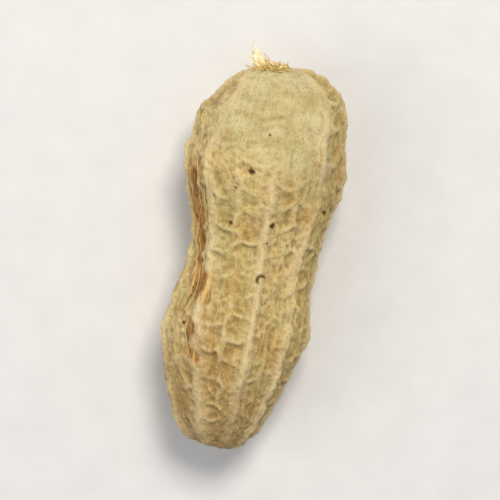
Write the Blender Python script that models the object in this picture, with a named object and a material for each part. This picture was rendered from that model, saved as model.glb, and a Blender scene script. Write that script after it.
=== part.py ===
"""A peanut in its shell: one closed pod of two lobes with lengthwise ridges and a raised net, lying down.

Metres, +Z up. Y runs along the pod, from its tip to its stem end. The origin is the middle of its box, on
the surface that it lies on.
"""

import math

import bmesh
import bpy
import numpy as np
from mathutils import Matrix, Vector, noise

MM = 0.001
SEED = 11

# The pod without its relief, at its tip, small lobe, waist, large lobe, shoulder and stem end. Each size
# eases from one of these places to the next.
LENGTH = 37.4 * MM
PLACES = np.array((0.0, 0.29, 0.48, 0.78, 0.92, 1.0))  # as shares of the length, from the tip
LEFT = np.array((8.5, 7.5, 6.2, 8.6, 9.9, 8.9)) * MM
RIGHT = np.array((5.3, 6.9, 5.6, 7.5, 9.5, 11.4)) * MM
HALF_HEIGHT = np.array((6.9, 7.0, 5.7, 8.1, 8.6, 8.8)) * MM
CENTRE_X = np.array((-0.2, -0.55, -0.05, -0.05, -0.5, -1.7)) * MM
CENTRE_Z = np.array((6.6, 6.6, 6.9, 7.5, 7.6, 7.9)) * MM
END_ROUNDNESS = 2.37  # 2 is an ellipse's end, more is blunter
STEM_END_SLANT, SLANT_START = 0.2, 0.7  # the stem end leans: its right side is higher, per unit of width

# Ridges run from end to end, main ones alternating with lesser ones.
COLUMNS = 18
MAIN_WIDTH, LESSER_WIDTH = 0.55 * MM, 0.5 * MM  # half of each
MAIN_HEIGHT, LESSER_HEIGHT = 0.5 * MM, 0.12 * MM
MAIN_MEAN, MAIN_CHANGE, CHANGE_LENGTH = 0.8, 0.8, 5.0 * MM  # a main ridge's height comes and goes
FLUTE_DEPTH = 0.07 * MM  # the broad hollows between main ridges
RIDGE_WANDER, WANDER_LENGTH = 0.6, 9.0 * MM  # of a column's width
TOP_SPREAD = 0.1  # ridges lie this much further apart on top
TIP_TWIST, TWIST_END = math.radians(12), 0.75  # the ridges turn towards the tip

# The net: a staggered row of cells in each column, with raised walls between them. A wall is higher
# where it runs across the pod, and its height comes and goes along it.
CELL_LENGTH, CELL_JITTER = 2.5 * MM, 0.55
WALL_WIDTH, WALL_HEIGHT = 0.62 * MM, 0.45 * MM
WALL_ARCH = 0.4 * MM  # walls bow towards the tip by this much between two ridges
WALL_MEAN, WALL_ACROSS = 0.8, 0.2  # shares of the height
WALL_CHANGE, WALL_CHANGE_LENGTH = 0.3, 2.5 * MM
NET_WARP, WARP_LENGTH = 0.3 * MM, 3.0 * MM  # how far the walls bend
FULL_RIDGE_COLUMN, FULL_WALL_COLUMN = 1.3 * MM, 1.9 * MM  # they fade where columns narrow at the ends

# The dome: the top of the large lobe is smooth, from nearer the tip on its right than on its left. The
# top ridge dies out on it, and the others get lower.
DOME_START, DOME_SLANT, DOME_EASE = 0.64, 0.03, 0.2  # shares of the length, the slant for each turn
DOME_LEFT, DOME_RIGHT, DOME_SIDE_EASE = -3.3, 2.9, 1.5  # turns
DOME_SMOOTHNESS, DOME_RIDGE = 0.85, 0.35
TOP_RIDGE_END, TOP_RIDGE_EASE = 0.66, 0.1  # shares of the length

# The whole surface also swells and sinks softly, and the tip has a low beak.
LUMP_HEIGHT, LUMP_SIZE = 0.35 * MM, 6.0 * MM
BEAK_HEIGHT, BEAK_REACH = 0.3 * MM, 0.03

# The mesh has four steps from one ridge to the next.
AROUND, RINGS = 4 * COLUMNS, 82
OUTLINE_STEPS = 4000
SLIVER = 1e-9

# What is left of the stalk
STUB_RADII = (0.9 * MM, 0.6 * MM)
STUB_LENGTH, STUB_SUNK, STUB_SIDES = 3.0 * MM, 1.2 * MM, 10

FOOT_DEPTH = 0.5 * MM  # how far the underside is worn flat where it rests
SHELL_COLOUR = (0.51, 0.36, 0.15, 1.0)
SHELL_ROUGHNESS = 0.85


def smooth(step):
    step = np.clip(step, 0.0, 1.0)
    return step * step * (3 - 2 * step)


def bump(distance, half_width):
    return np.exp(-((distance / half_width) ** 2))


def soft_noise(points, size):
    return np.array([noise.noise(Vector(p / size)) for p in points])


def eased(sizes, share):
    """The size at each share of the length."""
    i = np.clip(np.searchsorted(PLACES, share, side="right") - 1, 0, len(PLACES) - 2)
    step = smooth((share - PLACES[i]) / (PLACES[i + 1] - PLACES[i]))
    return sizes[i] + (sizes[i + 1] - sizes[i]) * step


def taper(share):
    """How far the ends have rounded in: 1 at the middle of the pod, 0 at its two poles."""
    from_middle = np.clip(np.abs(2 * share - 1), 0, 1)
    return (1 - from_middle**END_ROUNDNESS) ** (1 / END_ROUNDNESS)


def side_line():
    """(shares of the length, distance travelled over the pod's side), in steps that suit its round ends."""
    turn = np.cos(np.linspace(0, math.pi, OUTLINE_STEPS + 1))
    share = 0.5 - 0.5 * np.sign(turn) * np.abs(turn) ** (2 / END_ROUNDNESS)
    radius = eased(HALF_HEIGHT, share) * taper(share)
    steps = np.hypot(np.diff(share * LENGTH), np.diff(radius))
    return share, np.concatenate([[0], np.cumsum(steps)])


def skin(share, angle):
    """Points of the pod without its relief. Angle 0 is right and a quarter turn is up."""
    half_width = np.where(np.cos(angle) > 0, eased(RIGHT, share), eased(LEFT, share))
    across = np.cos(angle) * half_width * taper(share)
    up = np.sin(angle) * eased(HALF_HEIGHT, share) * taper(share)
    lean = STEM_END_SLANT * smooth((share - SLANT_START) / (1 - SLANT_START)) * across
    along = (share - 0.5) * LENGTH + lean
    return np.stack([eased(CENTRE_X, share) + across, along, eased(CENTRE_Z, share) + up], axis=-1)


def ridge_angle(turn, share):
    """The angle around the pod of a place in the net.

    Turn 0 is the main ridge on top, other even turns are main ridges too, and odd ones are lesser ridges.
    """
    plain = 2 * math.pi * turn / COLUMNS
    spread = TOP_SPREAD * np.sin(plain)
    twist = TIP_TWIST * (1 - smooth(share / TWIST_END))
    wander = RIDGE_WANDER * soft_noise(skin(share, plain), WANDER_LENGTH)
    return math.pi / 2 - twist - plain - spread + 2 * math.pi * wander / COLUMNS


def cell_offsets(turn, travelled, width, whole_way):
    """From each place, the offsets to the middles of the cells around it."""
    rows = int(whole_way / CELL_LENGTH) + 6
    jitter = CELL_JITTER * (np.random.RandomState(SEED).random_sample((2, COLUMNS, rows)) - 0.5)
    offsets = []
    for column_step in (-1, 0, 1):
        for row_step in (-2, -1, 0, 1, 2):
            column = np.floor(turn).astype(int) + column_step
            row = np.floor(travelled / CELL_LENGTH).astype(int) + row_step
            sideways, lengthwise = jitter[:, column % COLUMNS, row % rows]
            along = (row + 0.5 + 0.5 * (column % 2) + lengthwise) * CELL_LENGTH
            offsets.append(((column + 0.5 + sideways - turn) * width, along - travelled))
    return np.array(offsets)


def nearest_wall(turn, travelled, width, whole_way):
    """(distance to the wall between the two nearest cells, which way that wall faces along the pod)."""
    offsets = cell_offsets(turn, travelled, width, whole_way)
    nearness = np.argsort((offsets**2).sum(axis=1), axis=0)
    everyone = np.arange(turn.size)
    nearest = offsets[nearness[0], :, everyone]
    second = offsets[nearness[1], :, everyone]
    apart = np.linalg.norm(second - nearest, axis=1) + SLIVER
    distance = ((second**2).sum(axis=1) - (nearest**2).sum(axis=1)) / (2 * apart)
    return distance, (second - nearest)[:, 1] / apart


def warped(turn, travelled, width, points):
    """The same places shifted a little, so that the net's walls bend."""
    sideways = NET_WARP * soft_noise(points, WARP_LENGTH)
    lengthwise = NET_WARP * soft_noise(points + LENGTH, WARP_LENGTH)
    return turn + sideways / (width + NET_WARP), travelled + lengthwise


def from_top(turn):
    """The turn counted from the top ridge, below 0 on the left and above 0 on the right."""
    return (turn + COLUMNS / 2) % COLUMNS - COLUMNS / 2


def dome_mask(turn, share):
    """1 on the smooth top of the large lobe, 0 away from it."""
    side = from_top(turn)
    inside = smooth((side - DOME_LEFT) / DOME_SIDE_EASE) * smooth((DOME_RIGHT - side) / DOME_SIDE_EASE)
    return inside * smooth((share - DOME_START + DOME_SLANT * side) / DOME_EASE)


def relief(turn, share, travelled, points):
    """How far the surface is raised from the skin."""
    width = 2 * math.pi * eased(HALF_HEIGHT, share) * taper(share) / COLUMNS
    from_main = np.abs((turn + 1) % 2 - 1) * width
    ridges = smooth(width / FULL_RIDGE_COLUMN)
    on_dome = dome_mask(turn, share)
    plain = 1 - DOME_SMOOTHNESS * on_dome
    top_ridge = smooth(1.5 - np.abs(from_top(turn))) * smooth((share - TOP_RIDGE_END) / TOP_RIDGE_EASE)
    vigour = MAIN_MEAN + MAIN_CHANGE * soft_noise(points, CHANGE_LENGTH)
    main_line = ridges * bump(from_main, np.minimum(MAIN_WIDTH, 0.45 * width + SLIVER))
    main = MAIN_HEIGHT * vigour * main_line * (1 - top_ridge) * (1 - DOME_RIDGE * on_dome)
    lesser = LESSER_HEIGHT * ridges * plain * bump(width - from_main, LESSER_WIDTH)
    flute = FLUTE_DEPTH * np.cos(math.pi * turn) * ridges * plain
    bent_turn, bent_way = warped(turn, travelled, width, points)
    bent_way = bent_way + WALL_ARCH * (1 - (2 * (bent_turn % 1) - 1) ** 2)
    distance, facing = nearest_wall(bent_turn, bent_way, width, travelled.max())
    change = WALL_CHANGE * soft_noise(points, WALL_CHANGE_LENGTH)
    strength = np.clip(WALL_MEAN + WALL_ACROSS * np.abs(facing) + change, 0.1, 1.2)
    wall = WALL_HEIGHT * strength * plain * smooth(width / FULL_WALL_COLUMN) * bump(distance, WALL_WIDTH)
    hollow = 0.5 * plain * (WALL_HEIGHT - wall)
    lump = LUMP_HEIGHT * soft_noise(points, LUMP_SIZE)
    return np.maximum(main, wall) + lesser + flute - hollow + lump + BEAK_HEIGHT * bump(share, BEAK_REACH)


def pod_mesh():
    """A sphere with its poles at the tip and the stem, drawn out to the pod and raised by the relief."""
    bm = bmesh.new()
    bmesh.ops.create_uvsphere(bm, u_segments=AROUND, v_segments=RINGS, radius=1)
    ball = np.array([v.co for v in bm.verts])
    turn = np.arctan2(ball[:, 1], ball[:, 0]) / (2 * math.pi) * AROUND
    turn = np.round(turn) % AROUND * COLUMNS / AROUND
    shares, distances = side_line()
    travelled = np.arccos(np.clip(-ball[:, 2], -1, 1)) / math.pi * distances[-1]
    share = np.interp(travelled, distances, shares)
    points = skin(share, ridge_angle(turn, share))
    for vertex, point in zip(bm.verts, points):
        vertex.co = point
    bm.normal_update()
    for vertex, lift in zip(bm.verts, relief(turn, share, travelled, points)):
        vertex.co += vertex.normal * lift
    return bm


def wear_foot_flat(bm):
    """Sets the pod down, with its lowest ridges worn flat where they touch the surface."""
    lowest = min(v.co.z for v in bm.verts)
    for vertex in bm.verts:
        vertex.co.z = max(vertex.co.z - lowest - FOOT_DEPTH, 0.0)


def stem_pole(bm):
    """(place, direction) of the stem end's pole."""
    pole = max((v for v in bm.verts if len(v.link_edges) == AROUND), key=lambda v: v.co.y)
    return pole.co.copy(), pole.normal.copy()


def stub_mesh(place, direction):
    """The stalk's stub, a short tapered cone sunk into the stem end."""
    bm = bmesh.new()
    bmesh.ops.create_cone(
        bm,
        cap_ends=True,
        segments=STUB_SIDES,
        radius1=STUB_RADII[0],
        radius2=STUB_RADII[1],
        depth=STUB_LENGTH,
    )
    turned = direction.to_track_quat("Z", "Y").to_matrix().to_4x4()
    middle = place + direction * (STUB_LENGTH / 2 - STUB_SUNK)
    bmesh.ops.transform(bm, matrix=Matrix.Translation(middle) @ turned, verts=bm.verts)
    return bm


def smooth_object(bm, name, collection):
    mesh = bpy.data.meshes.new(name)
    bm.to_mesh(mesh)
    bm.free()
    mesh.shade_smooth()
    obj = bpy.data.objects.new(name, mesh)
    collection.objects.link(obj)
    return obj


def shell_material():
    material = bpy.data.materials.new("shell")
    material.use_nodes = True
    shader = material.node_tree.nodes["Principled BSDF"]
    shader.inputs["Base Color"].default_value = SHELL_COLOUR
    shader.inputs["Roughness"].default_value = SHELL_ROUGHNESS
    shader.inputs["Metallic"].default_value = 0.0
    return material


def box_middle(obj):
    """The middle of an object's box in X and Y, with its modifiers applied."""
    graph = bpy.context.evaluated_depsgraph_get()
    points = np.array([v.co for v in obj.evaluated_get(graph).data.vertices])
    middle = (points.min(axis=0) + points.max(axis=0)) / 2
    return Vector((middle[0], middle[1], 0))


def main():
    for obj in list(bpy.data.objects):
        bpy.data.objects.remove(obj)
    part = bpy.data.collections.new("peanut")
    cutters = bpy.data.collections.new("cutters")
    for collection in (part, cutters):
        bpy.context.scene.collection.children.link(collection)

    pod_bm = pod_mesh()
    wear_foot_flat(pod_bm)
    stub_bm = stub_mesh(*stem_pole(pod_bm))
    pod = smooth_object(pod_bm, "pod", part)
    pod.data.materials.append(shell_material())
    stub = smooth_object(stub_bm, "stub_cutter", cutters)
    stub.hide_render = True
    stub.display_type = "WIRE"

    join = pod.modifiers.new("stub", "BOOLEAN")
    join.operation = "UNION"
    join.object = stub
    bpy.context.view_layer.update()
    to_origin = Matrix.Translation(-box_middle(pod))
    for obj in (pod, stub):
        obj.data.transform(to_origin)


main()
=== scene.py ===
"""The looks of a peanut in its shell: a fine pod, its torn stalk, loose fibres, and its studio."""

import math

import bmesh
import bpy
import numpy as np
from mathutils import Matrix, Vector, noise


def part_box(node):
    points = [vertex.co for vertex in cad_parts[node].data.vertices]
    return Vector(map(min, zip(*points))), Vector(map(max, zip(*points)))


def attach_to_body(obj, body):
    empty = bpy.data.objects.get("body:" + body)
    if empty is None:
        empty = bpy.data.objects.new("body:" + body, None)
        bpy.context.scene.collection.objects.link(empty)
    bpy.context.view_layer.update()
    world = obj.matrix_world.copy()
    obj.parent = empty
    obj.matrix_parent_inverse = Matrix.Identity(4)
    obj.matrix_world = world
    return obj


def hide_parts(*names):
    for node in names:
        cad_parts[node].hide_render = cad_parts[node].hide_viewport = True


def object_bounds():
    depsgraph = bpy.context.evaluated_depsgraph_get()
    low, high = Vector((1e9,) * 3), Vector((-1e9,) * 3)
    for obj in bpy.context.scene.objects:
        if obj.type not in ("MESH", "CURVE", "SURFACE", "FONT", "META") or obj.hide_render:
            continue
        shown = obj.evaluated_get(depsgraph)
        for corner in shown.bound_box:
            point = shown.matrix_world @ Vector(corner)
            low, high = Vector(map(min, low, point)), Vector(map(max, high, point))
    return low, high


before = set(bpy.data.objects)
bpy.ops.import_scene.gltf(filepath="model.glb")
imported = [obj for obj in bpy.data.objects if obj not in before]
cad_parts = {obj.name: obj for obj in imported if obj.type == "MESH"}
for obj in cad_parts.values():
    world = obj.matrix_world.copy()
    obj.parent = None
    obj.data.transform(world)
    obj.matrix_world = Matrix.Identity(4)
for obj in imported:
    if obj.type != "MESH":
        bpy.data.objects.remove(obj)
cad_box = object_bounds()

MM = 0.001
NET_SEED, STALK_SEED, LOOSE_SEED, FINE_SEED = 11, 12, 13, 16

# The pod without its relief, at its tip, small lobe, waist, large lobe, shoulder and stem end
LENGTH = 37.4 * MM
PLACES = np.array((0.0, 0.29, 0.48, 0.78, 0.92, 1.0))  # as shares of the length, from the tip
LEFT = np.array((8.5, 7.5, 6.2, 8.6, 9.9, 8.9)) * MM
RIGHT = np.array((5.3, 6.9, 5.6, 7.5, 9.5, 11.4)) * MM
HALF_HEIGHT = np.array((6.9, 7.0, 5.7, 8.1, 8.6, 8.8)) * MM
CENTRE_X = np.array((-0.2, -0.55, -0.05, -0.05, -0.5, -1.7)) * MM
CENTRE_Z = np.array((6.6, 6.6, 6.9, 7.5, 7.6, 7.9)) * MM
END_ROUNDNESS = 2.37
STEM_END_SLANT, SLANT_START = 0.2, 0.7

# Ridges run from end to end, main ones alternating with lesser ones.
COLUMNS = 18
MAIN_WIDTH, LESSER_WIDTH = 0.5 * MM, 0.4 * MM
MAIN_HEIGHT, LESSER_HEIGHT = 0.42 * MM, 0.08 * MM
RIDGE_BAND = 0.9 * MM  # half the width of the pale band along a main ridge
MAIN_MEAN, MAIN_CHANGE, CHANGE_LENGTH = 0.8, 0.8, 5.0 * MM
WIDEST_RIDGE = 0.45  # as a share of its column, which narrows towards the ends
FLUTE_DEPTH = 0.07 * MM
RIDGE_WANDER, WANDER_LENGTH = 0.6, 9.0 * MM
TOP_SPREAD = 0.1
TIP_TWIST, TWIST_END = math.radians(12), 0.75

# The net: a staggered row of cells in each column, with raised walls between them, stronger across the pod
CELL_LENGTH, CELL_JITTER = 2.5 * MM, 0.55
WALL_WIDTH, WALL_HEIGHT = 0.33 * MM, 0.25 * MM
WALL_ARCH = 0.5 * MM  # walls bow towards the tip by this much between two ridges
WALL_MEAN, WALL_ACROSS, WALL_CHANGE, WALL_CHANGE_LENGTH = 0.3, 0.4, 1.0, 1.8 * MM
WALL_LEAST, WALL_MOST = 0.05, 1.1  # the weakest and the strongest walls
FLOOR_DROP = 0.5  # how far a cell's floor sinks, as a share of its walls' height
PITTED_FROM, PITTED_TO, PITTED_EASE = 0.1, 2.1, 0.6  # in turns: here the finer net takes over
PITTED_SHARE = 0.3
WALL_SLOPE = 0.3  # a wall is steeper on its tip side by this share
NET_WARP, WARP_LENGTH = 0.4 * MM, 2.6 * MM
FINE_WARP, FINE_WARP_LENGTH = 0.9 * MM, 1.5 * MM
FULL_RIDGE_COLUMN, FULL_WALL_COLUMN = 1.3 * MM, 1.9 * MM

# The dome: the top of the large lobe is smooth, and the top ridge dies out on it
DOME_START, DOME_SLANT, DOME_EASE = 0.64, 0.03, 0.2  # shares of the length, the slant for each turn
DOME_LEFT, DOME_RIGHT, DOME_SIDE_EASE = -3.3, 2.9, 1.5  # in turns
DOME_SMOOTHNESS, DOME_RIDGE = 0.85, 0.35
TOP_RIDGE_END, TOP_RIDGE_EASE = 0.66, 0.1
TOP_RIDGE_REACH = 1.5  # in turns, on both sides of the top ridge
LUMP_HEIGHT, LUMP_SIZE = 0.35 * MM, 6.0 * MM
BEAK_HEIGHT, BEAK_REACH = 0.3 * MM, 0.03
OUTLINE_STEPS = 4000
SLOPE_STEP, SLOPE_TURN = 0.05 * MM, 0.02  # the steps over which the skin's slopes are taken
SLIVER = 1e-9

# The fine surface
AROUND, RINGS = 360, 274  # faces around the pod and from pole to pole
FINE_COLUMNS, FINE_LENGTH = 38, 1.4 * MM
FINE_WIDTH, FINE_HEIGHT = 0.24 * MM, 0.1 * MM
FINE_MEAN, FINE_ACROSS, FINE_CHANGE, FINE_CHANGE_LENGTH = 0.35, 0.4, 1.1, 1.4 * MM
FINE_MOST, FINE_OFF_DOME = 1.2, 0.65  # the dome loses this share of the finer net
FIBRE_HEIGHT, FIBRE_WIDTH, FIBRE_LENGTH = 0.07 * MM, 0.55 * MM, 2.6 * MM
GRAIN_HEIGHT, GRAIN_SIZE = 0.1 * MM, 0.55 * MM
FINER_GRAIN_SHARE, FINER_GRAIN_SIZE = 0.6, GRAIN_SIZE / 1.5
GRAIN_OFF_DOME = 0.7
SWELL_HEIGHT, SWELL_SIZE = 0.22 * MM, 1.3 * MM
WRINKLE_HEIGHT, WRINKLE_WIDTH, WRINKLE_LENGTH, WRINKLE_WARP = 0.12 * MM, 0.9 * MM, 2.8 * MM, 0.8 * MM
END_FADE = 2.5  # a larger one keeps the net and the fibres nearer to the two poles
SHELL_RADIUS = 8.0 * MM  # the pod's fibres are spaced as on a straight tube of this size

# How low a place lies: against the mean of its neighbours, taken this many times over, and how much lower
# than that a full hollow or pit is. The small hollows are given painted shade, and the wide pits a browner
# tone that is partly painted shade.
HOLLOW_ROUNDS, FULL_HOLLOW = 4, 0.045 * MM
PIT_ROUNDS, FULL_PIT = 40, 0.14 * MM

# The brown channel down the left flank
CHANNEL_SHARES = (0.27, 0.39, 0.58, 0.71)  # it crosses the columns, so its turn changes along the pod
CHANNEL_TURNS = (-2.0, -2.4, -3.2, -2.8)
CHANNEL_SWAY, SWAY_LENGTH = 0.3, 4.0 * MM
CHANNEL_WIDTH, CHANNEL_DEPTH = 1.6 * MM, 0.16 * MM
CHANNEL_FROM, CHANNEL_TO, CHANNEL_EASE = 0.18, 0.76, 0.07  # as shares of the length
STROKE_WIDTH, STROKE_LENGTH = 0.9 * MM, 4.0 * MM  # it is torn into strokes of about this size
STROKE_MEAN, STROKE_CHANGE = 0.75, 1.6
PATCH_SIZE, PATCH_MEAN, PATCH_CHANGE = 2.4 * MM, 0.95, 2.0  # and is weak in patches

# Painted shade: greenish lines along the valleys beside the main ridges. Each is given by its turn, and by
# where it starts and ends as shares of the length. An end past 1 lets the line run up to the stem end.
GROOVE_SHADES = ((2.75, 0.45, 1.1), (-1.5, 0.3, 0.72), (-0.45, 0.25, 0.6), (3.7, 0.2, 0.7))
GROOVE_SHADE_WIDTH, GROOVE_SHADE_EASE = 0.7 * MM, 0.1

# The small lobe's left flank, beyond the channel, has a weaker net.
CALM_FROM, CALM_TO, CALM_EASE = -6.5, -2.2, 1.0  # in turns
CALM_END, CALM_END_EASE, CALMNESS = 0.44, 0.12, 0.6

# Dark specks on top: place across, place along, and radius in mm
SPECKS = (
    (-0.7, 11.8, 0.12),
    (-1.8, 8.0, 0.26),
    (1.1, 3.3, 0.24),
    (-2.8, 2.9, 0.2),
    (-3.0, 6.3, 0.11),
    (0.9, 1.6, 0.12),
    (5.9, 5.5, 0.16),
    (-5.7, -7.3, 0.18),
    (2.1, -9.0, 0.1),
)
SPECK_DEPTH = 0.12 * MM
SPECK_REACH = 1.6  # in radii: how far a speck's brown rim reaches
SPECK_RAGGED, SPECK_RAGGED_SIZE = 0.7, 0.35 * MM

# The small ring-shaped scar on top, near the waist: place across and along, then its sizes
RING_PLACE = (1.0 * MM, -2.0 * MM)
RING_RADIUS, RING_WIDTH, RING_DEPTH = 0.42 * MM, 0.15 * MM, 0.2 * MM

SHELL_IOR = 1.5  # dry plant fibre
SHELL_SHEEN, TORN_SHEEN, TORN_ROUGHNESS = 0.35, 0.4, 0.6
SHELL_RAISED = {"Strength": 0.8, "Distance": 0.14 * MM}
TORN_RAISED = {"Strength": 0.4, "Distance": 0.03 * MM}
TORN_MOTTLE_SIZE = 0.4 * MM
TORN_PALER_TO_TIP, TORN_PALER_BY_TINT = 0.55, 0.5
TORN_BROWNEST, TORN_PALEST = 0.35, 1.45  # the sums that get a strand's first and last colour

# Colours, as sRGB hex
WALL_COLOURS = ((0.34, "#bb9855"), (0.5, "#c8af71"), (0.66, "#d1be85"))
DOME_COLOURS = ((0.34, "#b5a673"), (0.5, "#c5b788"), (0.66, "#d2c89e"))
CHANNEL_COLOURS = ((0.4, "#6f430c"), (0.49, "#9a651d"), (0.57, "#bd8a3c"), (0.66, "#d6ba7c"))
STALK_COLOURS = ((0.0, "#7d5a22"), (0.35, "#bf9640"), (0.7, "#e3c97e"), (1.0, "#f6edcd"))
LOOSE_COLOURS = ((0.0, "#9c7438"), (0.5, "#c7a668"), (1.0, "#e6d5a6"))
PIT_ROUGHNESS, WALL_ROUGHNESS = 0.92, 0.74

# The shell's mottles (size, detail) and its streaks along the pod (width, length, detail)
MOTTLES = {
    "blotch": (5 * MM, 3.0),
    "stain": (2.2 * MM, 3.0),
    "dust": (3.4 * MM, 3.0),
    "mottle": (0.45 * MM, 4.0),
    "sage": (2.8 * MM, 3.0),
    "grit": (0.25 * MM, 3.0),  # drawn coarser than the real dust, which no render would show
}
STREAKS = {
    "bands": (3 * MM, 1.2 * MM, 3.0),
    "torn": (0.5 * MM, 3 * MM, 5.0),
    "fibres": (0.3 * MM, 1.6 * MM, 4.0),
}

# A mottle breaks up the edges of the painted shade in the hollows, of the browner, partly shaded pits and
# of the brown tip, by this much.
UNEVEN = (("hollow", "mottle", 2.2), ("pit_tone_and_shade", "stain", 3.0), ("share", "stain", 0.5))

# The shell's colours, laid one over another: what shows each, where that starts and is full, how much
# of what lies under it it then covers, and the colour
LAYERS = (
    ("stain", 0.5, 0.75, 0.55, "#b08a50"),
    ("dust", 0.55, 0.75, 0.5, "#cfb78f"),
    ("dome", 0.1, 0.9, 0.85, "dome"),
    ("sage", 0.45, 0.68, 0.5, "#b9b37b"),
    # painted shade along the valleys beside the main ridges
    ("groove_shade", 0.0, 1.0, 0.55, "#aaa062"),
    ("share", 0.3, 0.04, 0.85, "#937442"),
    # browner in the wide pits: partly the shell's own tone, partly painted shade
    ("pit_tone_and_shade", 0.2, 1.6, 0.4, "#a0824b"),
    ("ridge", 0.1, 1.0, 0.58, "#dcc99c"),
    # painted shade in the small hollows, then a paler tone on the small crests
    ("hollow", 0.1, 1.5, 0.44, "#806236"),
    ("hollow", -0.3, -2.0, 0.4, "#e0d1a4"),
    ("channel", 0.15, 0.55, 0.9, "channel"),
    ("fibres", 0.48, 0.3, 0.3, "#8f7648"),
    ("grit", 0.44, 0.3, 0.4, "#7c6136"),
    ("grit", 0.58, 0.72, 0.3, "#e6dab2"),
    ("ring", 0.0, 0.8, 0.95, "#5e3f1a"),
    ("speck", 0.1, 0.6, 0.7, "#7a5729"),
    ("speck", 0.5, 0.9, 0.85, "#3d2b13"),
)

# Strands of fibre
STRAND_SIDES = 6
GOLDEN_ANGLE = math.radians(137.5)
STEM_RING = 1.5 * MM  # the stalk points the way that the skin faces, on average, this far from its end
STALK_STEPS, STALK_SUNK, STALK_LEAN = 12, 0.9 * MM, -0.5
STALK_BUNDLES = (  # sizes in mm: a pale stump on the left, then brown fibres, coarse and fine, to its right
    {"count": 22, "radius": 0.2, "length": 2.0, "splay": 0.12, "curl": 0.25, "spread": 0.5,
     "right": -0.9, "above": 0.5, "pale": 0.75},
    {"count": 34, "radius": 0.12, "length": 1.3, "splay": 0.6, "curl": 0.7, "spread": 1.0,
     "right": 0.3, "above": 1.0, "pale": 0.1},
    {"count": 64, "radius": 0.06, "length": 1.9, "splay": 1.5, "curl": 1.2, "spread": 1.2,
     "right": 0.2, "above": 1.2, "pale": -0.1},
)
STALK_LENGTHS, STALK_SPLAYS, STALK_RADII = (0.4, 1.0), (0.4, 1.6), (0.6, 1.4)  # a strand's own shares
STALK_INSIDE_LONGER, STALK_OUTSIDE_SHORTER = 1.1, 0.5
STALK_TINT_CHANGE, STALK_THINNING = 0.5, 0.6
LOOSE_STRANDS, LOOSE_STEPS, LOOSE_SMOOTHING = 54, 16, 4
LOOSE_LENGTHS, LOOSE_RADII, LOOSE_LIFTS = (0.4, 1.0), (0.6, 1.3), (0.2, 1.0)  # a strand's own shares
LOOSE_TURNS, LOOSE_WAVE, LOOSE_WAVES = (-0.4, 0.4), 0.1, (3, 7)  # how it strays from its column, in turns
LOOSE_IN_CHANNEL = (-0.5, 0.5)  # how far from the channel's middle, in turns
LOOSE_THINNING, LOOSE_END_GAP = 0.8, 1.0 * MM
LOOSE_LENGTH, LOOSE_RADIUS, LOOSE_LIFT = 6.0 * MM, 0.045 * MM, 0.2 * MM
LOOSE_FROM, LOOSE_TO = 0.1, 0.85  # where loose fibres start, as shares of the way over the pod's side
FLOOR_GAP = 1.0 * MM  # none lies nearer to the floor than this

# Soft studio lights: name, place, size in metres, watts, colour
LIGHTS = (
    ("key", (0.03, 0.13, 0.28), 0.1, 0.71, "#fff6e8"),
    ("fill", (-0.2, -0.1, 0.2), 0.2, 0.24, "#fbf6ee"),
)
SKY_COLOUR, SKY_STRENGTH = "#eef0f4", 0.45
FLOOR_SIDE = 3.0

# The camera sees a square of this side, and the pod leans in it by this much.
VIEW_SIDE = 49 * MM
CAMERA_LENS = 150.0
POD_LEAN = math.radians(10.3)


def smooth(step):
    step = np.clip(step, 0.0, 1.0)
    return step * step * (3 - 2 * step)


def bump(distance, half_width):
    return np.exp(-((distance / half_width) ** 2))


def soft_noise(points, size):
    return np.array([noise.noise(place) for place in (points / size).tolist()])


def eased(sizes, share):
    """The size at each share of the length."""
    i = np.clip(np.searchsorted(PLACES, share, side="right") - 1, 0, len(PLACES) - 2)
    step = smooth((share - PLACES[i]) / (PLACES[i + 1] - PLACES[i]))
    return sizes[i] + (sizes[i + 1] - sizes[i]) * step


def taper(share):
    """How far the ends have rounded in: 1 at the middle of the pod, 0 at its two poles."""
    from_middle = np.clip(np.abs(2 * share - 1), 0, 1)
    return (1 - from_middle**END_ROUNDNESS) ** (1 / END_ROUNDNESS)


def side_line():
    """(shares of the length, distance travelled over the pod's side), in steps that suit its round ends."""
    turn = np.cos(np.linspace(0, math.pi, OUTLINE_STEPS + 1))
    share = 0.5 - 0.5 * np.sign(turn) * np.abs(turn) ** (2 / END_ROUNDNESS)
    radius = eased(HALF_HEIGHT, share) * taper(share)
    steps = np.hypot(np.diff(share * LENGTH), np.diff(radius))
    return share, np.concatenate([[0], np.cumsum(steps)])


SHARES, DISTANCES = side_line()
WHOLE_WAY = DISTANCES[-1]


def skin(share, angle):
    """Points of the pod without its relief. Angle 0 is right and a quarter turn is up."""
    half_width = np.where(np.cos(angle) > 0, eased(RIGHT, share), eased(LEFT, share))
    across = np.cos(angle) * half_width * taper(share)
    up = np.sin(angle) * eased(HALF_HEIGHT, share) * taper(share)
    lean = STEM_END_SLANT * smooth((share - SLANT_START) / (1 - SLANT_START)) * across
    along = (share - 0.5) * LENGTH + lean
    return np.stack([eased(CENTRE_X, share) + across, along, eased(CENTRE_Z, share) + up], axis=-1)


def ridge_angle(turn, share):
    """The angle around the pod of a place in the net. Even turns are main ridges, and turn 0 is on top."""
    plain = 2 * math.pi * turn / COLUMNS
    spread = TOP_SPREAD * np.sin(plain)
    twist = TIP_TWIST * (1 - smooth(share / TWIST_END))
    wander = RIDGE_WANDER * soft_noise(skin(share, plain), WANDER_LENGTH)
    return math.pi / 2 - twist - plain - spread + 2 * math.pi * wander / COLUMNS


def skin_at(turn, travelled):
    share = np.interp(travelled, DISTANCES, SHARES)
    return skin(share, ridge_angle(turn, share))


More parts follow.
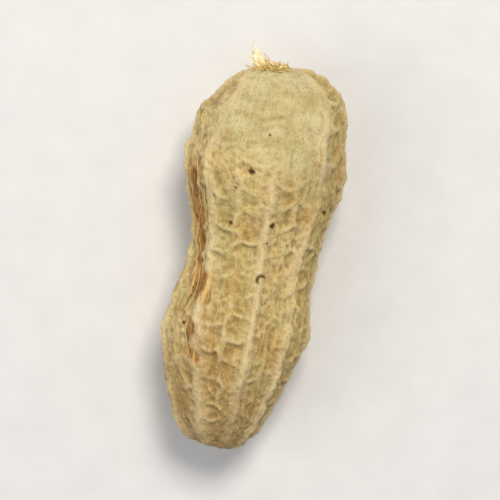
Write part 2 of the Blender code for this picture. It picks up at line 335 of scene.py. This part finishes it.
def outward(turn, travelled):
    """The skin's unit normals, from its slopes around and along the pod."""
    travelled = np.clip(travelled, 2 * SLOPE_STEP, WHOLE_WAY - 2 * SLOPE_STEP)
    sideways = skin_at(turn + SLOPE_TURN, travelled) - skin_at(turn - SLOPE_TURN, travelled)
    lengthwise = skin_at(turn, travelled + SLOPE_STEP) - skin_at(turn, travelled - SLOPE_STEP)
    normal = np.cross(sideways, lengthwise)
    return normal / np.linalg.norm(normal, axis=1, keepdims=True)


def from_top(turn):
    """The turn counted from the top ridge, below 0 on the left and above 0 on the right."""
    return (turn + COLUMNS / 2) % COLUMNS - COLUMNS / 2


def cell_offsets(turn, travelled, width, columns, length, seed):
    """From each place, the offsets to the middles of the cells around it."""
    across = turn * columns / COLUMNS
    cell_width = width * COLUMNS / columns
    rows = int(WHOLE_WAY / length) + 6
    jitter = CELL_JITTER * (np.random.RandomState(seed).random_sample((2, columns, rows)) - 0.5)
    offsets = []
    for column_step in (-1, 0, 1):
        for row_step in (-2, -1, 0, 1, 2):
            column = np.floor(across).astype(int) + column_step
            row = np.floor(travelled / length).astype(int) + row_step
            sideways, lengthwise = jitter[:, column % columns, row % rows]
            along = (row + 0.5 + 0.5 * (column % 2) + lengthwise) * length
            offsets.append(((column + 0.5 + sideways - across) * cell_width, along - travelled))
    return np.array(offsets)


def nearest_wall(turn, travelled, width, columns, length, seed):
    """(distance to the wall between the two nearest cells, which way the wall faces along the pod)."""
    offsets = cell_offsets(turn, travelled, width, columns, length, seed)
    nearness = np.argsort((offsets**2).sum(axis=1), axis=0)
    everyone = np.arange(turn.size)
    nearest = offsets[nearness[0], :, everyone]
    second = offsets[nearness[1], :, everyone]
    apart = np.linalg.norm(second - nearest, axis=1) + SLIVER
    distance = ((second**2).sum(axis=1) - (nearest**2).sum(axis=1)) / (2 * apart)
    return distance, (second - nearest)[:, 1] / apart


def warped(turn, travelled, width, points, warp, length):
    """The same places shifted a little, so that the net's walls bend."""
    sideways = warp * soft_noise(points, length)
    lengthwise = warp * soft_noise(points + LENGTH, length)
    return turn + sideways / (width + warp), travelled + lengthwise


def dome_mask(turn, share):
    """1 on the smooth top of the large lobe, 0 away from it."""
    side = from_top(turn)
    inside = smooth((side - DOME_LEFT) / DOME_SIDE_EASE) * smooth((DOME_RIGHT - side) / DOME_SIDE_EASE)
    return inside * smooth((share - DOME_START + DOME_SLANT * side) / DOME_EASE)


def pitted_mask(turn):
    """1 between the top ridge and the next main one on its right, where round pits outdo the net."""
    side = from_top(turn)
    return smooth((side - PITTED_FROM) / PITTED_EASE) * smooth((PITTED_TO - side) / PITTED_EASE)


def calm_mask(turn, share):
    """1 on the small lobe's left flank, 0 away from it."""
    side = from_top(turn)
    inside = smooth((side - CALM_FROM) / CALM_EASE) * smooth((CALM_TO - side) / CALM_EASE)
    return inside * smooth((CALM_END - share) / CALM_END_EASE)


def relief(turn, share, travelled, width, points):
    """(how far the surface is raised from the skin, mask of the pale bands along its main ridges)."""
    from_main = np.abs((turn + 1) % 2 - 1) * width
    ridges = smooth(width / FULL_RIDGE_COLUMN)
    on_dome = dome_mask(turn, share)
    plain = 1 - DOME_SMOOTHNESS * on_dome
    top_ridge = smooth(TOP_RIDGE_REACH - np.abs(from_top(turn)))
    top_ridge = top_ridge * smooth((share - TOP_RIDGE_END) / TOP_RIDGE_EASE)
    vigour = MAIN_MEAN + MAIN_CHANGE * soft_noise(points, CHANGE_LENGTH)
    main_line = ridges * bump(from_main, np.minimum(MAIN_WIDTH, WIDEST_RIDGE * width + SLIVER))
    main_line = main_line * (1 - top_ridge) * (1 - DOME_RIDGE * on_dome)
    main = MAIN_HEIGHT * vigour * main_line
    lesser = LESSER_HEIGHT * ridges * plain * bump(width - from_main, LESSER_WIDTH)
    flute = FLUTE_DEPTH * np.cos(math.pi * turn) * ridges * plain
    bent_turn, bent_way = warped(turn, travelled, width, points, NET_WARP, WARP_LENGTH)
    bent_way = bent_way + WALL_ARCH * (1 - (2 * (bent_turn % 1) - 1) ** 2)
    distance, facing = nearest_wall(bent_turn, bent_way, width, COLUMNS, CELL_LENGTH, NET_SEED)
    change = WALL_CHANGE * soft_noise(points, WALL_CHANGE_LENGTH)
    strength = np.clip(WALL_MEAN + WALL_ACROSS * np.abs(facing) + change, WALL_LEAST, WALL_MOST)
    strength = strength * (1 - PITTED_SHARE * pitted_mask(turn)) * (1 - CALMNESS * calm_mask(turn, share))
    wall_line = bump(distance, WALL_WIDTH * (1 - WALL_SLOPE * facing))
    wall_line = wall_line * plain * smooth(width / FULL_WALL_COLUMN)
    wall = WALL_HEIGHT * strength * wall_line
    hollow = FLOOR_DROP * plain * (WALL_HEIGHT - wall)
    lump = LUMP_HEIGHT * soft_noise(points, LUMP_SIZE)
    beak = BEAK_HEIGHT * bump(share, BEAK_REACH)
    raised = np.maximum(main, wall) + lesser + flute - hollow + lump + beak
    band = bump(from_main, RIDGE_BAND) * ridges * (1 - top_ridge) * np.clip(vigour, 0, 1)
    return raised, band


def channel_turn(share):
    return np.interp(share, CHANNEL_SHARES, CHANNEL_TURNS)


def channel_mask(turn, share, travelled, width, points):
    """1 in the strokes of the brown channel, 0 away from them."""
    middle = channel_turn(share) + CHANNEL_SWAY * soft_noise(points, SWAY_LENGTH)
    away = np.abs(from_top(turn - middle)) * width
    start = smooth((share - CHANNEL_FROM) / CHANNEL_EASE)
    end = smooth((CHANNEL_TO - share) / CHANNEL_EASE)
    strokes = fibre_place(turn, travelled) / (STROKE_WIDTH, STROKE_WIDTH, STROKE_LENGTH)
    torn = smooth(STROKE_MEAN + STROKE_CHANGE * soft_noise(strokes, 1.0))
    there = smooth(PATCH_MEAN + PATCH_CHANGE * soft_noise(points, PATCH_SIZE))
    return bump(away, CHANNEL_WIDTH) * torn * there * start * end


def speck_mask(points):
    """1 in the middle of each dark speck, 0 past its ragged edge."""
    found = np.zeros(len(points))
    ragged = SPECK_RAGGED * soft_noise(points, SPECK_RAGGED_SIZE)
    for x, y, radius in SPECKS:
        away = np.hypot(points[:, 0] - x * MM, points[:, 1] - y * MM) / (radius * MM)
        found = np.maximum(found, smooth(SPECK_REACH - away + ragged))
    return found * (points[:, 2] > CENTRE_Z.mean())


def ring_mask(points):
    """1 along the small ring-shaped scar, 0 away from it."""
    across, along = points[:, 0] - RING_PLACE[0], points[:, 1] - RING_PLACE[1]
    away = np.hypot(across, along)
    open_side = smooth(0.5 + (along - across) / (2 * RING_RADIUS))
    return bump(away - RING_RADIUS, RING_WIDTH) * open_side * (points[:, 2] > CENTRE_Z.mean())


def groove_shade_mask(turn, share, width):
    """1 along the greenish lines of painted shade beside the main ridges, 0 away from them."""
    found = np.zeros(len(turn))
    for middle, start, end in GROOVE_SHADES:
        away = np.abs(from_top(turn) - middle) * width
        inside = smooth((share - start) / GROOVE_SHADE_EASE) * smooth((end - share) / GROOVE_SHADE_EASE)
        found = np.maximum(found, bump(away, GROOVE_SHADE_WIDTH) * inside)
    return found


def fibre_place(turn, travelled):
    """Where each place would lie if the pod were a straight tube, so that fibres can run along it."""
    angle = 2 * math.pi * turn / COLUMNS
    return np.stack([np.cos(angle) * SHELL_RADIUS, np.sin(angle) * SHELL_RADIUS, travelled], axis=-1)


def fine_relief(turn, share, travelled, width, points, masks):
    """What is too fine for the pod's own relief: a finer net, fibres, grain, wrinkles and scars."""
    ends = smooth(taper(share) * END_FADE)
    bent_turn, bent_way = warped(turn, travelled, width, points, FINE_WARP, FINE_WARP_LENGTH)
    distance, facing = nearest_wall(bent_turn, bent_way, width, FINE_COLUMNS, FINE_LENGTH, FINE_SEED)
    change = FINE_CHANGE * soft_noise(points, FINE_CHANGE_LENGTH)
    strength = np.clip(FINE_MEAN + FINE_ACROSS * np.abs(facing) + change, 0, FINE_MOST)
    strength = strength * (1 + PITTED_SHARE * pitted_mask(turn)) * (1 - FINE_OFF_DOME * masks["dome"])
    strength = strength * (1 - CALMNESS * calm_mask(turn, share))
    fine_net = FINE_HEIGHT * strength * bump(distance, FINE_WIDTH)
    along = fibre_place(turn, travelled) / (FIBRE_WIDTH, FIBRE_WIDTH, FIBRE_LENGTH)
    fibres = FIBRE_HEIGHT * soft_noise(along, 1.0)
    grain = soft_noise(points, GRAIN_SIZE) + FINER_GRAIN_SHARE * soft_noise(points, FINER_GRAIN_SIZE)
    grain = GRAIN_HEIGHT * grain + SWELL_HEIGHT * soft_noise(points, SWELL_SIZE)
    bent = fibre_place(turn, travelled + WRINKLE_WARP * soft_noise(points, 3 * WRINKLE_WIDTH))
    wrinkles = WRINKLE_HEIGHT * soft_noise(bent / (WRINKLE_LENGTH, WRINKLE_LENGTH, WRINKLE_WIDTH), 1.0)
    rough = 1 - GRAIN_OFF_DOME * masks["dome"]
    return (
        (fine_net + fibres * rough) * ends
        + grain * rough * (0.5 + 0.5 * ends)
        + wrinkles * masks["dome"] * ends
        - CHANNEL_DEPTH * masks["channel"]
        - SPECK_DEPTH * masks["speck"]
        - RING_DEPTH * masks["ring"]
    )


def surface(turn, travelled):
    """(points, masks, height of the relief) of the finished shell. Masks run from 0 to 1."""
    share = np.interp(travelled, DISTANCES, SHARES)
    points = skin(share, ridge_angle(turn, share))
    width = 2 * math.pi * eased(HALF_HEIGHT, share) * taper(share) / COLUMNS
    raised, ridge = relief(turn, share, travelled, width, points)
    masks = {
        "ridge": ridge,
        "dome": dome_mask(turn, share),
        "channel": channel_mask(turn, share, travelled, width, points),
        "groove_shade": groove_shade_mask(turn, share, width),
        "speck": speck_mask(points),
        "ring": ring_mask(points),
        "share": share,
    }
    raised = raised + fine_relief(turn, share, travelled, width, points, masks)
    return points + outward(turn, travelled) * raised[:, None], masks, raised


def shift_to_frame(points):
    """How far the points move to lie where the frame's pod does, by its sides, its tip and its top."""
    low, high = (np.array(corner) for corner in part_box("pod"))
    sideways = (low[0] + high[0]) / 2 - (points[:, 0].min() + points[:, 0].max()) / 2
    return np.array([sideways, low[1] - points[:, 1].min(), high[2] - points[:, 2].max()])


def linear(code):
    """A colour written as sRGB hex, turned to linear RGBA."""
    channels = [int(code[i : i + 2], 16) / 255 for i in (1, 3, 5)]
    return [c / 12.92 if c <= 0.04045 else ((c + 0.055) / 1.055) ** 2.4 for c in channels] + [1.0]


def add_node(tree, kind, out=0, inputs=None, stops=(), **settings):
    """Adds a node and returns one of its outputs. Each input is a value, or the output that feeds it, and
    stops are the (place, colour) of a colour ramp."""
    made = tree.nodes.new(kind)
    for name, value in settings.items():
        setattr(made, name, value)
    for socket, value in (inputs or {}).items():
        if isinstance(value, bpy.types.NodeSocket):
            tree.links.new(value, made.inputs[socket])
        else:
            made.inputs[socket].default_value = value
    for number, (place, colour) in enumerate(stops):
        elements = made.color_ramp.elements
        stop = elements[number] if number < 2 else elements.new(place)
        stop.position = place
        stop.color = linear(colour)
    return made.outputs[out]


def new_material(name, put_on):
    """(material, function that adds nodes to it). Each of put_on is set on the shader's own socket."""
    material = bpy.data.materials.new(name)
    material.use_nodes = True
    tree = material.node_tree
    shader = tree.nodes["Principled BSDF"]
    for socket, value in put_on.items():
        shader.inputs[socket].default_value = value

    def add(kind, out=0, inputs=None, stops=(), **settings):
        return add_node(tree, kind, out, inputs, stops, **settings)

    def feed(socket, output):
        tree.links.new(output, shader.inputs[socket])

    return material, add, feed


def shell_material():
    """Pod wall: layers of dead plant fibre, grown over each other and dried. To the eye it is matt and
    dusty straw, paler on its raised net and browner in its pits, and finely streaked along the pod. The
    browner pits are partly painted shade, and painted shade also lies in the small hollows and along the
    valleys beside the main ridges."""
    matt = {"IOR": SHELL_IOR, "Specular IOR Level": SHELL_SHEEN}
    material, add, feed = new_material("dried_pod_wall", matt)
    names = ("ridge", "channel", "speck", "ring", "dome", "groove_shade", "share", "hollow", "pit_tone_and_shade")
    kept = {name: add("ShaderNodeAttribute", "Fac", attribute_name=name) for name in names}
    grain = add("ShaderNodeAttribute", "Vector", attribute_name="grain")
    place = add("ShaderNodeTexCoord", "Object")
    for name, (size, detail) in MOTTLES.items():
        kept[name] = add("ShaderNodeTexNoise", 0, {"Vector": place, "Scale": 1 / size, "Detail": detail})
    for name, (width, length, detail) in STREAKS.items():
        squeeze = {0: grain, 1: (1 / width, 1 / width, 1 / length)}
        along = add("ShaderNodeVectorMath", 0, squeeze, operation="MULTIPLY")
        kept[name] = add("ShaderNodeTexNoise", 0, {"Vector": along, "Scale": 1.0, "Detail": detail})

    for edge, mottle, change in UNEVEN:
        centred = {0: kept[mottle], 1: change, 2: -change / 2}
        uneven = add("ShaderNodeMath", 0, centred, operation="MULTIPLY_ADD")
        kept[edge] = add("ShaderNodeMath", 0, {0: kept[edge], 1: uneven}, operation="ADD")

    colours = {
        "wall": add("ShaderNodeValToRGB", 0, {"Fac": kept["blotch"]}, WALL_COLOURS),
        "dome": add("ShaderNodeValToRGB", 0, {"Fac": kept["bands"]}, DOME_COLOURS),
        "channel": add("ShaderNodeValToRGB", 0, {"Fac": kept["torn"]}, CHANNEL_COLOURS),
    }
    colour = colours["wall"]
    for shown_by, start, full, most, over in LAYERS:
        inputs = {"Value": kept[shown_by], "From Min": start, "From Max": full, "To Max": most}
        amount = add("ShaderNodeMapRange", 0, inputs)
        over = colours[over] if over in colours else linear(over)
        colour = add("ShaderNodeMix", 2, {0: amount, 6: colour, 7: over}, data_type="RGBA")
    feed("Base Color", colour)
    dull = {"Value": kept["hollow"], "From Min": -1, "To Min": WALL_ROUGHNESS, "To Max": PIT_ROUGHNESS}
    feed("Roughness", add("ShaderNodeMapRange", 0, dull))

    # Fibres and grit too small for the mesh
    rough = add("ShaderNodeMath", 0, {0: kept["fibres"], 1: kept["grit"]}, operation="ADD")
    feed("Normal", add("ShaderNodeBump", 0, {"Height": rough, **SHELL_RAISED}))
    return material


def torn_fibre_material(name, colours):
    """Bast fibre, pulled apart when the pod was picked: glossier than the wall, near white where it is
    newly torn and yellow to brown where it grew."""
    matt = {"IOR": SHELL_IOR, "Roughness": TORN_ROUGHNESS, "Specular IOR Level": TORN_SHEEN}
    material, add, feed = new_material(name, matt)
    along = add("ShaderNodeAttribute", "Fac", attribute_name="along")
    tint = add("ShaderNodeAttribute", "Fac", attribute_name="tint")
    place = add("ShaderNodeTexCoord", "Object")
    noise_inputs = {"Vector": place, "Scale": 1 / TORN_MOTTLE_SIZE, "Detail": 3.0}
    mottle = add("ShaderNodeTexNoise", 0, noise_inputs)
    mixed = {0: along, 1: TORN_PALER_TO_TIP, 2: mottle}
    paleness = add("ShaderNodeMath", 0, mixed, operation="MULTIPLY_ADD")
    mixed = {0: tint, 1: TORN_PALER_BY_TINT, 2: paleness}
    paleness = add("ShaderNodeMath", 0, mixed, operation="MULTIPLY_ADD")
    spread = {"Value": paleness, "From Min": TORN_BROWNEST, "From Max": TORN_PALEST}
    paleness = add("ShaderNodeMapRange", 0, spread)
    feed("Base Color", add("ShaderNodeValToRGB", 0, {"Fac": paleness}, colours))
    feed("Normal", add("ShaderNodeBump", 0, {"Height": mottle, **TORN_RAISED}))
    return material


def card_material():
    """Uncoated card: pressed paper pulp, so it is matt, pale and very slightly mottled."""
    material, add, feed = new_material("uncoated_card", {"Roughness": 0.9, "Specular IOR Level": 0.2})
    place = add("ShaderNodeTexCoord", "Object")
    pulp = add("ShaderNodeTexNoise", 0, {"Vector": place, "Scale": 1 / (4 * MM), "Detail": 4.0})
    feed("Base Color", add("ShaderNodeValToRGB", 0, {"Fac": pulp}, ((0.35, "#dcdddf"), (0.65, "#e0e1e3"))))
    return material


def attach(mesh, name, values):
    """Keeps one number for each of the mesh's points, for its material."""
    kept = mesh.attributes.new(name, "FLOAT", "POINT")
    kept.data.foreach_set("value", np.asarray(values, dtype=np.float32))


def new_piece(name, mesh, material):
    """A smooth piece that rides on the pod's body and stands for the CAD pod."""
    mesh.shade_smooth()
    mesh.materials.append(material)
    piece = bpy.data.objects.new(name, mesh)
    bpy.context.scene.collection.objects.link(piece)
    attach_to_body(piece, "root")
    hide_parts("pod")
    return piece


def lower_than_around(mesh, raised, rounds):
    """How much lower each point lies than the mean of the points around it, further out for more rounds."""
    ends = np.empty(2 * len(mesh.edges), dtype=np.int32)
    mesh.edges.foreach_get("vertices", ends)
    ends = np.concatenate([ends.reshape(-1, 2), ends.reshape(-1, 2)[:, ::-1]])
    beside = np.bincount(ends[:, 0])
    around = raised
    for _ in range(rounds):
        around = np.bincount(ends[:, 0], weights=around[ends[:, 1]]) / beside
    return around - raised


def shell_mesh():
    """(mesh, shift): a sphere drawn out to the pod, its poles at the tip and the stem end."""
    bm = bmesh.new()
    bm.loops.layers.uv.new("OFBake")
    bmesh.ops.create_uvsphere(bm, u_segments=AROUND, v_segments=RINGS, radius=1, calc_uvs=True)
    ball = np.array([v.co for v in bm.verts])
    turn = np.arctan2(ball[:, 1], ball[:, 0]) / (2 * math.pi) * AROUND
    turn = np.round(turn) % AROUND * COLUMNS / AROUND
    travelled = np.arccos(np.clip(-ball[:, 2], -1, 1)) / math.pi * WHOLE_WAY
    points, masks, raised = surface(turn, travelled)
    shift = shift_to_frame(points)
    points = points + shift
    points[:, 2] = np.maximum(points[:, 2], 0)
    for vertex, point in zip(bm.verts, points):
        vertex.co = point
    mesh = bpy.data.meshes.new("shell")
    bm.to_mesh(mesh)
    bm.free()
    # painted shade goes where a point lies lower than the points just around it
    masks["hollow"] = lower_than_around(mesh, raised, HOLLOW_ROUNDS) / FULL_HOLLOW
    # a browner tone, partly painted shade, goes where a point lies lower than a wide ring around it
    masks["pit_tone_and_shade"] = lower_than_around(mesh, raised, PIT_ROUNDS) / FULL_PIT
    for name, values in masks.items():
        attach(mesh, name, values)
    grain = mesh.attributes.new("grain", "FLOAT_VECTOR", "POINT")
    grain.data.foreach_set("vector", fibre_place(turn, travelled).astype(np.float32).ravel())
    return mesh, shift


def add_strand(bm, path, radii, tint):
    """A closed round tube along a path, which keeps how far along it each point is, and its tint."""
    along, tints = bm.verts.layers.float["along"], bm.verts.layers.float["tint"]
    path = [Vector(p) for p in path]
    rings = []
    for i, place in enumerate(path):
        ahead = path[min(i + 1, len(path) - 1)] - path[max(i - 1, 0)]
        turned = ahead.to_track_quat("Z", "Y")
        ring = []
        for side in range(STRAND_SIDES):
            angle = 2 * math.pi * side / STRAND_SIDES
            vertex = bm.verts.new(place + turned @ Vector((math.cos(angle), math.sin(angle), 0)) * radii[i])
            vertex[along] = i / (len(path) - 1)
            vertex[tints] = tint
            ring.append(vertex)
        rings.append(ring)
    for ring, after in zip(rings, rings[1:]):
        for side in range(STRAND_SIDES):
            beside = (side + 1) % STRAND_SIDES
            bm.faces.new((ring[side], ring[beside], after[beside], after[side]))
    bm.faces.new(list(reversed(rings[0])))
    bm.faces.new(rings[-1])


def strand_mesh(name, strands):
    """A mesh of many strands, each given as (path, radii, tint)."""
    bm = bmesh.new()
    for layer in ("along", "tint"):
        bm.verts.layers.float.new(layer)
    for path, radii, tint in strands:
        add_strand(bm, path, radii, tint)
    mesh = bpy.data.meshes.new(name)
    bm.to_mesh(mesh)
    bm.free()
    return mesh


def stem_end(shift):
    """(place, direction) of the stem end's middle."""
    around = np.arange(0, COLUMNS, 0.5)
    ring = np.full(around.size, WHOLE_WAY - STEM_RING)
    direction = Vector(outward(around, ring).mean(axis=0)).normalized()
    points, _, _ = surface(np.array([0.0]), np.array([WHOLE_WAY]))
    return Vector(points[0] + shift), direction


def stalk_strands(shift):
    """The torn stalk: a stump of stout strands and curled fibres beside it, all rooted in the stem end."""
    draw = np.random.RandomState(STALK_SEED)
    place, direction = stem_end(shift)
    turned = direction.to_track_quat("Z", "Y")
    way = np.linspace(0, 1, STALK_STEPS + 1)
    strands = []
    for bundle in STALK_BUNDLES:
        middle = place + Vector((bundle["right"], 0, bundle["above"])) * MM
        for number in range(bundle["count"]):
            angle = GOLDEN_ANGLE * number
            out = math.sqrt((number + 0.5) / bundle["count"])
            outwards = Vector((math.cos(angle), math.sin(angle), 0)) * out
            shorter = STALK_INSIDE_LONGER - STALK_OUTSIDE_SHORTER * out
            reach = bundle["length"] * MM * draw.uniform(*STALK_LENGTHS) * shorter
            heading = outwards * bundle["splay"] * draw.uniform(*STALK_SPLAYS) + Vector((0, 0, 1))
            spot = outwards * bundle["spread"] * MM - Vector((0, 0, STALK_SUNK))
            path = []
            for step in way:
                path.append(middle + turned @ spot + Vector((STALK_LEAN * reach * step**2, 0, 0)))
                bent = Vector(draw.uniform(-1, 1, 3)) * bundle["curl"] * step
                heading = (heading + bent).normalized()
                spot = spot + heading * (reach + STALK_SUNK) / STALK_STEPS
            tint = bundle["pale"] + STALK_TINT_CHANGE * draw.random_sample()
            blunt = 1 - STALK_THINNING * way**4
            radius = bundle["radius"] * MM * draw.uniform(*STALK_RADII)
            strands.append((path, radius * blunt, tint))
    return strands


def loose_strands(shift):
    """Fibres that have come half away from the shell and lie along it, a third of them in the channel."""
    draw = np.random.RandomState(LOOSE_SEED)
    way = np.linspace(0, 1, LOOSE_STEPS + 1)
    strands = []
    for number in range(LOOSE_STRANDS):
        in_channel = number % 3 == 0
        low, high = (CHANNEL_FROM, CHANNEL_TO - 0.1) if in_channel else (LOOSE_FROM, LOOSE_TO)
        length = LOOSE_LENGTH * draw.uniform(*LOOSE_LENGTHS)
        travelled = draw.uniform(low, high) * WHOLE_WAY + length * way
        travelled = np.minimum(travelled, WHOLE_WAY - LOOSE_END_GAP)
        turn = draw.uniform(0, COLUMNS)
        if in_channel:
            turn = channel_turn(travelled[0] / WHOLE_WAY) + draw.uniform(*LOOSE_IN_CHANNEL)
        straight = draw.uniform(*LOOSE_TURNS) * way
        turns = turn + straight + LOOSE_WAVE * np.sin(way * draw.uniform(*LOOSE_WAVES))
        points, _, _ = surface(turns, travelled)
        for _ in range(LOOSE_SMOOTHING):
            points[1:-1] = (points[:-2] + 2 * points[1:-1] + points[2:]) / 4
        radius = LOOSE_RADIUS * draw.uniform(*LOOSE_RADII)
        lift = LOOSE_LIFT * draw.uniform(*LOOSE_LIFTS) * way**2
        tint = draw.random_sample()
        points = points + outward(turns, travelled) * (0.5 * radius + lift)[:, None] + shift
        if points[:, 2].min() > FLOOR_GAP:
            strands.append((points, radius * (1 - LOOSE_THINNING * np.abs(2 * way - 1) ** 3), tint))
    return strands


def add_floor():
    mesh = bpy.data.meshes.new("floor")
    bm = bmesh.new()
    bmesh.ops.create_grid(bm, x_segments=1, y_segments=1, size=FLOOR_SIDE / 2)
    bm.to_mesh(mesh)
    bm.free()
    mesh.materials.append(card_material())
    floor = bpy.data.objects.new("floor", mesh)
    bpy.context.scene.collection.objects.link(floor)


def add_light(name, place, size, power, colour):
    """A square soft light, turned towards the pod."""
    light = bpy.data.lights.new(name, "AREA")
    light.size = size
    light.energy = power
    light.color = linear(colour)[:3]
    lamp = bpy.data.objects.new(name, light)
    lamp.location = place
    lamp.rotation_euler = (-Vector(place)).to_track_quat("-Z", "Y").to_euler()
    bpy.context.scene.collection.objects.link(lamp)


def add_studio():
    scene = bpy.context.scene
    scene.view_settings.view_transform = "Standard"
    world = bpy.data.worlds.new("studio")
    world.use_nodes = True
    sky = world.node_tree.nodes["Background"]
    sky.inputs["Color"].default_value = linear(SKY_COLOUR)
    sky.inputs["Strength"].default_value = SKY_STRENGTH
    scene.world = world
    for light in LIGHTS:
        add_light(*light)


def add_camera():
    """Looks straight down on the pod, turned so that the pod leans as it does in the photograph."""
    middle_height = cad_box[1][2] / 2
    lens = bpy.data.cameras.new("camera")
    lens.lens = CAMERA_LENS
    lens.clip_start = 0.01
    camera = bpy.data.objects.new("camera", lens)
    away = VIEW_SIDE * CAMERA_LENS / lens.sensor_width
    camera.location = (0, 0, middle_height + away)
    camera.rotation_euler = (0, 0, POD_LEAN)
    bpy.context.scene.collection.objects.link(camera)
    bpy.context.scene.camera = camera


def main():
    mesh, shift = shell_mesh()
    new_piece("shell", mesh, shell_material())
    stalk_mesh = strand_mesh("stalk_fibres", stalk_strands(shift))
    new_piece("stalk_fibres", stalk_mesh, torn_fibre_material("torn_stalk_fibre", STALK_COLOURS))
    loose_mesh = strand_mesh("loose_fibres", loose_strands(shift))
    new_piece("loose_fibres", loose_mesh, torn_fibre_material("loose_shell_fibre", LOOSE_COLOURS))
    add_floor()
    add_studio()
    add_camera()


main()
